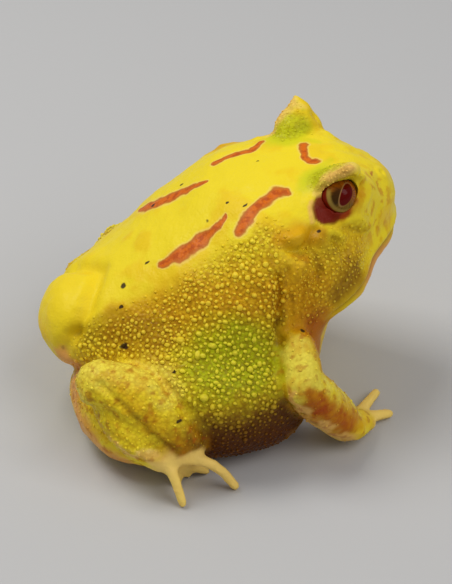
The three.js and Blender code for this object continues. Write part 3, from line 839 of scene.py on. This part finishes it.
# Each layer: frame, colour, strength, softness, and either a centre and radii or stops of a stroke.
LAYERS = [
    ("trunk", GOLD, 0.4, 0.8, [(-38, 0, 26), (12, 22, 12)]),
    ("trunk", OCHRE, 0.62, 0.5, [(-30, 18, 34, 12), (-18, 25, 38, 20), (-6, 32, 40, 24), (6, 34, 40, 24)]),
    ("head", OCHRE, 0.52, 0.6, [(-12, 25, 4, 22), (4, 24, 4, 10)]),
    ("trunk", OLIVE, 0.5, 0.6, [(-42, 12, 28, 5), (-38, 14, 31.5, 6), (-31, 18, 33, 8), (-23, 24, 34, 9)]),
    ("trunk", LIME, 0.92, 0.5, [(-8, 36, 31), (14, 10, 10.5)]),
    # Painted shade: a brown band low on the flank, where little light reaches.
    ("trunk", UMBER, 0.9, 0.5, [(-22, 41, 13, 13), (-6, 43, 10, 22), (4, 40, 14, 18), (8, 38, 14, 12)]),
    ("trunk", CREAM, 0.8, 0.4, [(-2, 0, 0), (36, 34, 7)]),
    ("left", LEMON, 0.85, 0.5, [(-46, 10, 27, 10), (-37, 14, 33, 14), (-24, 20, 40, 14), (-8, 24, 46, 12)]),
    ("trunk", PALE_LEMON, 0.85, 0.4, [(-44, 26, 26, 12), (-30, 31, 31, 11), (-24, 38, 27, 7)]),
    ("trunk", PINK, 0.75, 0.45, [(-44, 10, 20, 8), (-42, 24, 9, 10), (-35, 36, 4, 8)]),
    ("trunk", OCHRE, 0.35, 0.6, [(-36, 34, 28, 4), (-28, 42, 20, 6), (-24, 44, 14, 6)]),
    # Painted shade in the furrow along the folded leg.
    ("trunk", UMBER, 0.6, 0.8, [(-35, 38.4, 24.5, 0.8), (-30, 42, 18.5, 1.1), (-24.5, 44.5, 13.5, 1.6)]),
    ("trunk", LEMON, 0.6, 0.5, [(-41, 34, 23, 5), (-33, 41.5, 16.5, 6), (-28, 44, 12.5, 5)]),
    ("trunk", CREAM, 0.9, 0.5, [(-38, 38.6, 15.3, 1.6), (-32.8, 42.8, 13.2, 2), (-26.6, 45.2, 10, 2.6)]),
    ("trunk", PALE_LEMON, 0.95, 0.3, [(7, 38, 33, 8), (7.5, 42, 27, 9), (14, 41, 22, 6), (22, 38, 12, 5)]),
    ("trunk", GOLD, 0.8, 0.5, [(21, 38, 9, 5), (27, 34, 4, 7)]),
    ("trunk", OCHRE, 0.8, 0.6, [(9, 45, 25, 4), (13, 45, 19, 8), (20, 42, 12, 7)]),
    ("trunk", RUSSET, 0.6, 0.9, [(8.6, 44.6, 25.4, 4), (9.8, 45.4, 20.6, 6)]),
    ("trunk", RUSSET, 0.85, 0.8, [(9.8, 45.4, 20.6, 6), (14, 45, 15, 8), (20, 43, 9, 8)]),
    ("trunk", PEACH, 0.9, 0.4, [(4, 43.1, 24, 2.4), (7, 42.8, 18, 3), (13, 42.1, 10.6, 4), (20, 40, 4, 5)]),
    # Painted shadow on the chest under the chin.
    ("trunk", RUSSET, 0.8, 0.5, [(14, 30, 29), (6, 8, 9)]),
    ("head", UMBER, 0.6, 0.6, [(-4, 27, 1, 6), (2, 25.5, 3, 8)]),
    ("head", RUSSET, 0.5, 0.7, [(-13, 24.5, 15.5, 2.2), (-10, 25.6, 13.6, 3)]),
    ("trunk", CREAM, 0.6, 0.6, [(25, 0, 17), (14, 20, 17)]),
    ("head", OCHRE, 0.75, 0.6, [(-14, 21.6, 18, 5), (-9, 21.4, 17.6, 6), (-5, 21.6, 15, 5)]),
    # Painted shade: the next three strokes darken three furrows of the cheek.
    ("head", UMBER, 0.55, 0.7, [(-13.4, 24.4, 16, 1.6), (-10.5, 24, 14.8, 2), (-7.6, 22.6, 15.6, 1.8)]),
    ("head", UMBER, 0.4, 0.7, [(-1.2, 21.8, 13, 1.6), (0.4, 22.8, 10.4, 2), (0.6, 24, 7, 2)]),
    ("head", UMBER, 0.45, 0.7, [(-8.6, 23.4, 14.8, 1.4), (-7.6, 25, 11.4, 2), (-8.4, 26.6, 8, 2)]),
    ("head", UMBER, 0.4, 0.8, [(-5.4, 22, 15, 3.6), (-3, 23.6, 11.4, 5)]),
    # Painted shade in the furrow below the eye.
    ("head", UMBER, 0.3, 0.7, [(2, 20.8, 13.2, 1.4), (5, 20, 11.8, 1.8), (6.8, 19.2, 9.8, 1.6)]),
    ("head", OCHRE, 0.4, 0.5, [(9, 16.6, 18.4, 2.4), (10.4, 15.6, 22.4, 2)]),
    # Painted shade in the two furrows before the arm.
    ("trunk", UMBER, 0.55, 0.6, [(4.9, 29, 49, 1.4), (4.6, 31, 43, 2.6), (3.9, 33.6, 35, 3)]),
    ("trunk", UMBER, 0.4, 0.7, [(7.5, 28.4, 50, 1.2), (7.8, 31, 43, 1.6), (8.1, 32.4, 36.6, 2)]),
    ("head", LEMON, 0.7, 0.5, [(15, 12.5, 3.6, 3), (9, 18.5, 3.4, 3.4), (5, 22.5, 3, 3.4)]),
    ("head", PINK, 0.8, 0.5, [(20, 0, -1.2, 3), (17, 9, -1.2, 3), (9, 19, -1.6, 3), (0, 25, -2.6, 2.6)]),
    ("head", CREAM, 0.7, 0.5, [(6, 0, -9), (16, 22, 6)]),
    ("head", CHARTREUSE, 0.6, 0.8, [(-4, 11.8, 22.4, 3), (0, 9, 23.5, 3.6), (7, 4.4, 22.6, 2)]),
    ("head", PEACH, 0.8, 0.5, [(-3.4, 16, 21.6, 0.9), (-4.4, 17.3, 20.5, 1.2), (-5, 19.4, 18.2, 1.4)]),
    ("head", MAROON, 0.97, 0.25, [(-1, 16.6, 21.6, 3.4), (-1.9, 17.8, 20, 4.2), (-1.7, 18.8, 18.4, 4.6)]),
    ("head", MAROON, 0.97, 0.25, [(-1.7, 18.8, 18.4, 4.6), (0.2, 19.6, 17.6, 4.2), (3.2, 19.2, 17.8, 3.6)]),
    ("head", MAROON, 0.95, 0.3, [(2, 16.4, 18.6), (4.6, 3.8, 3.8)]),
    ("head", RUSSET, 0.7, 0.5, [(2.4, 19.6, 16.2, 2), (5.4, 18.6, 17, 1.6), (7.4, 17.6, 18.6, 1.2)]),
    ("head", CHARTREUSE, 0.95, 0.4, [(1.8, 10.8, 25.4), (6, 4.4, 4)]),
    ("head", LIME, 0.6, 0.7, [(4, 11.4, 24), (4.4, 2.6, 1.6)]),
    ("head", LID_TAN, 0.95, 0.4, [(-1, 14.6, 23.4, 3.2), (2.2, 15.8, 26.5, 4.8), (5.6, 17.6, 29, 4.6)]),
    ("head", LID_TAN, 0.85, 0.4, [(6.2, 17.6, 28.6, 3.6), (8, 15, 27, 2.4)]),
    ("head", PEACH, 0.7, 0.5, [(-0.6, 15.2, 23.8, 1.6), (2.4, 16.2, 26.6, 2), (5.9, 18.4, 28.8, 2.6)]),
    # Painted shadow in the furrow under the lid's edge, on the horn's face.
    ("head", LID_EDGE_SHADOW, 0.95, 0.3, [(0.8, 16.8, 23.4, 1.4), (2.6, 17.8, 24.4, 2), (4.4, 18.6, 25.2, 2.6)]),
    ("head", LID_EDGE_SHADOW, 0.95, 0.3, [(4.4, 18.6, 25.2, 2.6), (6, 19.2, 25.6, 2.4)]),
    ("head", RUSSET, 0.3, 0.7, [(6.6, 18.4, 16.2, 2), (8.6, 16.6, 19.4, 1.6)]),
]

# Each speck: x, y, z and width in the frog's frame.
SPECKS = [
    (8.6, 1.6, 62.8, 0.8), (1.3, -11.9, 59.3, 0.8), (-29.2, -9.5, 39.5, 1.7), (-31.8, -21, 29.9, 1.9),
    (-7.4, -9.6, 54.8, 1.3), (-2.1, -8.6, 58.4, 1), (-8.7, 10, 53.7, 0.9), (17.2, -21.8, 55, 1),
    (-16.1, 10, 49, 1.2), (-22.1, -8.6, 44.7, 0.8), (-37.1, -36.7, 25.7, 0.7), (-32.8, -42.6, 13.9, 0.9),
    (-22.9, -42, 21.1, 1), (10.2, -33.1, 35.8, 1.5), (25.8, -26.3, 38.4, 1.3), (-30.6, -14.4, 36.5, 0.9),
    (-22.3, -33.1, 29, 0.9), (-45.6, -10.5, 24.6, 2.6), (-5.2, -33, 38.6, 0.8), (12, 14, 60.5, 0.9),
]
SNOUT_DASH = [(34.7, -7.3, 60.1, 1.4), (35.5, -6.2, 59.4, 1.4)]

# %% [markdown]
# ## Ground colours
# The layers are painted on the points of the skin. The place of each point is first shaken by noise, which
# gives every edge a ragged outline. A mottle of gold breaks up the yellow, blotches of ochre the snout and
# the limbs, and a greener mottle the lids. A wart takes the colour of the point that it stands on.

# %% Paint the layers on the points
SHAKE_SEED = 5
BROAD_SHAKE = 2.4  # millimetres
HEAD_SHAKE = 0.7
SNOUT = [(13, 13, 12), (8, 8, 11)]
LID = [(-1, 13, 24.4, 5), (3, 13.4, 26.6, 8), (7, 14, 27.4, 6)]
MOUTH_PAINTED_SHADE = 0.6
MOUTH_PAINTED_SHADE_WIDTH = 0.8
DIGIT_SHADE = 0.85


def stroke_distance(places, stops):
    """Distance from a stroke's middle line, told in half widths."""
    return np.minimum.reduce([
        2 * away / (start[3] + share * (end[3] - start[3]))
        for start, end, share, away in stretches(places, stops)
    ])


def soft_mask(places, softness, shape):
    is_patch = len(shape[0]) == 3
    if is_patch:
        reach = np.linalg.norm((places - shape[0]) / shape[1], axis=1)
    else:
        reach = stroke_distance(places, shape)
    return 1 - ramp(reach, 1 - softness, 1 + softness)


def lay(colour, share):
    ground[:] += share[:, None] * (np.array(colour) - ground)


def cloudy(size, low, high):
    """Patches of noise about as large as the size, in millimetres."""
    values = np.array([noise.fractal(Vector(place) / size, 1, 2, 4) for place in local])
    return ramp(values, low, high)


noise.seed_set(SHAKE_SEED)  # without it, the clock would shift the noise vectors at every run
local = in_frog_frame(points_of(skin))
drift = np.array([noise.noise_vector(Vector(place) / 4) + noise.noise_vector(Vector(place) / 1.8) / 2
                  for place in local])
shaken = {
    "left": local + BROAD_SHAKE * drift,
    "trunk": folded["trunk"] + BROAD_SHAKE * drift,
    "head": folded["head"] + HEAD_SHAKE * drift,
}
ground = np.tile(np.array(LEMON), (len(local), 1))
lay(GOLD, 0.6 * cloudy(9, 0, 0.5))
for where, tint, strength, softness, shape in LAYERS:
    lay(tint, strength * soft_mask(shaken[where], softness, shape))

snout = soft_mask(folded["head"], 0.5, SNOUT)
lid = soft_mask(folded["head"], 0.4, LID) * within["horns"]
# Each mottle: colour, strength, region, size, and the noise at which its patches begin and are full.
MOTTLES = [
    (OCHRE, 0.8, snout, 2.4, 0.05, 0.4),
    (OCHRE, 0.38, limbs, 3.6, 0, 0.4),
    (RUSSET, 0.5, limbs, 1.9, 0.25, 0.55),
    (CHARTREUSE, 0.5, lid, 2.4, -0.05, 0.3),
]
for tint, strength, region, size, begins, full in MOTTLES:
    lay(tint, strength * region * cloudy(size, begins, full))
# Painted shade along the pressed-in mouth line.
lay(UMBER, MOUTH_PAINTED_SHADE * bell(above_line, MOUTH_PAINTED_SHADE_WIDTH) * in_mouth)
lay(CREAM, DIGIT_SHADE * digits)
set_attribute(skin, "ground", ground)
set_attribute(warts, "ground", np.repeat(ground[seeds], per_dome, axis=0))
print("painted", len(LAYERS), "layers on", len(ground), "points")

# %% [markdown]
# ## Skin finish
# The orange marks and the dark specks need crisp edges, so they are laid over the ground colour here.
# The tips of the warts are paler. Painted shade darkens the skin between them and the lowest skin of the
# trunk.
# The grain of the skin is a bump: pebbles where it is granular and fine wrinkles everywhere.

# %% Skin material
# Scales are waves per metre.
EDGE_SCALE = 240.0
EDGE_WANDER = 2.8 * MM
STREAK_SCALE = 600.0
PEBBLE_SCALE = 1050.0
GLOSS_SCALE = 300.0
GRAIN_SCALE = 1300.0
WRINKLE_SCALE = 1700.0
WRINKLE_SHARE = 0.35
GRAIN_DEPTH = 0.35 * MM
SPECK_LENGTH = 0.3

skin_material, tree, shader, place = new_material("albino_skin")
wander = add_node(tree, "TexNoise", {"Vector": place, "Scale": EDGE_SCALE, "Detail": 3.0}).outputs["Color"]
drift = vector_maths(tree, "SUBTRACT", wander, (0.5, 0.5, 0.5))
slightly = vector_maths(tree, "MULTIPLY_ADD", drift, (EDGE_WANDER,) * 3, place)
exact_place = in_millimetres(tree, slightly, frog_zero)
colour = add_node(tree, "Attribute", attribute_name="ground").outputs["Color"]

mark_reach = least_of(tree, (stroke_reach(tree, exact_place, stops) for stops in MARKS.values()))
streaks = add_node(tree, "TexNoise", {"Vector": place, "Scale": STREAK_SCALE, "Detail": 3.0}).outputs["Fac"]
orange = mixed(tree, step(tree, streaks, 0.44, 0.62, 0.0, 0.9), ORANGE, DEEP_RED)
colour = mixed(tree, step(tree, mark_reach, 1.1, 1.6, 0.45, 0.0), colour, PALE_RIM)
colour = mixed(tree, step(tree, mark_reach, 0.85, 1.2, 0.85, 0.0), colour, DEEP_RED)
colour = mixed(tree, step(tree, mark_reach, 0.35, 0.95, 1.0, 0.0), colour, orange)
dash = step(tree, stroke_reach(tree, exact_place, SNOUT_DASH), 0.6, 1.2, 0.7, 0.0)
colour = mixed(tree, dash, colour, DEEP_RED)

granular_here = attribute(tree, "granular")
wart_height = attribute(tree, "wart")
pebbles = add_node(tree, "TexVoronoi", {"Vector": place, "Scale": PEBBLE_SCALE}).outputs["Distance"]
# Painted shade between the pebbles and warts of the granular skin.
between = maths(tree, "MULTIPLY", granular_here, step(tree, pebbles, 0.25, 0.75, 0.25, 1.0))
between = maths(tree, "MULTIPLY", between, step(tree, wart_height, 0.0, 0.6, 1.0, 0.0))
colour = mixed(tree, between, colour, GAP_PAINTED_SHADE, blend="MULTIPLY")
# Painted shade: low on the trunk the wart tips are less pale, and the skin is darkened.
low_shade_here = attribute(tree, "low_shade")
tip = maths(tree, "MULTIPLY", wart_height, step(tree, granular_here, 0.4, 0.95, 0.2, 0.6))
tip = maths(tree, "MULTIPLY", tip, step(tree, low_shade_here, 0, 0.9, 1.0, 0.45))
tip = maths(tree, "MULTIPLY", tip, step(tree, attribute(tree, "horns"), 0, 1, 1.0, 0.2))
colour = mixed(tree, tip, colour, PALE_WART)
colour = mixed(tree, low_shade_here, colour, LOW_SHADE_TINT, blend="MULTIPLY")

specks = [[(along, *rest), (along + SPECK_LENGTH, *rest)] for along, *rest in SPECKS]
speck_reach = least_of(tree, (stroke_reach(tree, exact_place, stops) for stops in specks))
colour = mixed(tree, step(tree, speck_reach, 0.7, 1.25, 0.95, 0.0), colour, SPECK)
tree.links.new(colour, shader.inputs["Base Color"])

shader.inputs["Specular IOR Level"].default_value = 0.12
gloss = add_node(tree, "TexNoise", {"Vector": place, "Scale": GLOSS_SCALE, "Detail": 2.0}).outputs["Fac"]
tree.links.new(step(tree, gloss, 0.3, 0.7, 0.34, 0.52), shader.inputs["Roughness"])

grain = add_node(tree, "TexVoronoi", {"Vector": place, "Scale": GRAIN_SCALE}, feature="SMOOTH_F1")
fine = add_node(tree, "TexNoise", {"Vector": place, "Scale": WRINKLE_SCALE, "Detail": 4.0}).outputs["Fac"]
grain_depth = step(tree, granular_here, 0, 1, -0.25, -1)
grain_height = maths(tree, "MULTIPLY", grain.outputs["Distance"], grain_depth)
height = maths(tree, "MULTIPLY_ADD", fine, WRINKLE_SHARE, grain_height)
bump = add_node(tree, "Bump", {"Strength": 0.8, "Distance": GRAIN_DEPTH, "Height": height})
tree.links.new(bump.outputs["Normal"], shader.inputs["Normal"])
for piece in (skin, warts):
    piece.data.materials.append(skin_material)

# %% [markdown]
# ## Eye finish
# An albino's pupil is dark red, because the blood behind it shows through. Round its slit runs a thin pale
# ring. The iris is orange brown above and olive grey below, with fine threads that run out from the pupil;
# a painted shadow makes it almost black behind. The eye is wet, so it is the glossiest thing on the frog.

# %% Iris pattern and eye materials
PUPIL_HALF_LENGTH = 2.75
PUPIL_HALF_WIDTH = 1.5
IRIS_EDGE = 4.3
PUPIL_RED = (0.11, 0.002, 0.0005, 1)
RING_TAN = (0.36, 0.19, 0.06, 1)
IRIS_BROWN = (0.34, 0.09, 0.003, 1)
IRIS_OLIVE = (0.19, 0.105, 0.006, 1)
IRIS_DARK = (0.035, 0.012, 0.002, 1)
IRIS_RIM = (0.34, 0.22, 0.04, 1)

iris_group, entry, leave = new_group("slit_iris", {"Place": "Vector"}, {"Color": "Color"})
tree = iris_group
split = add_node(tree, "SeparateXYZ", {0: entry["Place"]}).outputs
flat = add_node(tree, "CombineXYZ", {"X": split["X"], "Y": split["Y"], "Z": 0.0}).outputs["Vector"]
from_axis = vector_maths(tree, "LENGTH", flat, result="Value")
squeezed = vector_maths(tree, "DIVIDE", flat, (PUPIL_HALF_LENGTH, PUPIL_HALF_WIDTH, 1))
from_slit = vector_maths(tree, "LENGTH", squeezed, result="Value")
bearing = vector_maths(tree, "NORMALIZE", flat)
threads = add_node(tree, "TexNoise", {"Vector": bearing, "Scale": 9.0, "Detail": 4.0}).outputs["Fac"]
iris = mixed(tree, step(tree, split["X"], -2.6, 1.2), IRIS_OLIVE, IRIS_BROWN)
iris = mixed(tree, step(tree, threads, 0.45, 0.65, 0.0, 0.5), iris, IRIS_DARK)
# Painted shadow: a dark patch at the back of the iris.
shadow = {"Centre": (-1.4, 1.9, 0), "Radii": (2.4, 1.4, 1), "Softness": 0.4}
dark_patch = use_group(tree, patch_group, Place=flat, **shadow)["Mask"]
iris = mixed(tree, maths(tree, "MULTIPLY", dark_patch, 0.9), iris, IRIS_DARK)
rim = maths(tree, "MULTIPLY", step(tree, from_axis, 3.3, 3.9), step(tree, split["X"], -1, 0.5, 0.9, 0.0))
iris = mixed(tree, rim, iris, IRIS_RIM)
behind = step(tree, split["Y"], -1.6, 0.4, 0.15, 1.0)
ring = maths(tree, "MULTIPLY", step(tree, from_slit, 1.08, 1.24, 0.85, 0.0), behind)
iris = mixed(tree, ring, iris, RING_TAN)
iris = mixed(tree, step(tree, from_slit, 0.98, 1.08, 1.0, 0.0), iris, PUPIL_RED)
iris = mixed(tree, step(tree, from_axis, IRIS_EDGE - 0.2, IRIS_EDGE + 0.1), iris, MAROON)
tree.links.new(iris, leave["Color"])

for name, side in (("right", -1), ("left", 1)):
    eye_material, tree, shader, place = new_material("wet_eye_" + name)
    local = in_millimetres(tree, place, centre_of("eye_" + name), pupil_frame(side).to_euler())
    facing_back = vector_maths(tree, "MULTIPLY", local, (1, -side, 1))
    tree.links.new(use_group(tree, iris_group, Place=facing_back)["Color"], shader.inputs["Base Color"])
    shader.inputs["Roughness"].default_value = 0.2
    shader.inputs["Specular IOR Level"].default_value = 0.06
    shader.inputs["Coat Weight"].default_value = 0.1
    shader.inputs["Coat Roughness"].default_value = 0.04
    eyeballs[name].data.materials.append(eye_material)

# %% [markdown]
# ## Floor finish
# The floor is pale and matt, so that nothing in it competes with the frog.

# %% Floor material
FLOOR_GREY = 0.51

floor_material, tree, shader, place = new_material("pale_floor")
shader.inputs["Base Color"].default_value = (*(FLOOR_GREY,) * 3, 1)
shader.inputs["Roughness"].default_value = 0.85
floor.data.materials.append(floor_material)

# %% [markdown]
# ## Stray faces
# The remesh leaves a tiny closed bubble inside the body. It goes only now, so that the numbering of the
# points stays the same for everything above.

# %% Drop the bubble
def keep_largest_part(piece):
    shape = bmesh.new()
    shape.from_mesh(piece.data)
    unseen, parts = set(shape.verts), []
    while unseen:
        waiting = [unseen.pop()]
        part = list(waiting)
        while waiting:
            point = waiting.pop()
            found = unseen.intersection(edge.other_vert(point) for edge in point.link_edges)
            unseen -= found
            waiting.extend(found)
            part.extend(found)
        parts.append(part)
    parts.sort(key=len)
    stray = [point for part in parts[:-1] for point in part]
    bmesh.ops.delete(shape, geom=stray, context="VERTS")
    shape.to_mesh(piece.data)
    shape.free()
    print(len(stray), "stray points dropped")


keep_largest_part(skin)

# %% [markdown]
# ## Hand over
# The skin takes the place of every solid of flesh, and the eyeballs that of the two eyes. The boxes of the
# solids and of the finished frog are kept, so that their sizes can be compared.

# %% Attach the pieces and finish
for piece in (skin, warts):
    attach(piece, "root")
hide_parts(*flesh)
for name, ball in eyeballs.items():
    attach(ball, "root")
    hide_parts("eye_" + name)
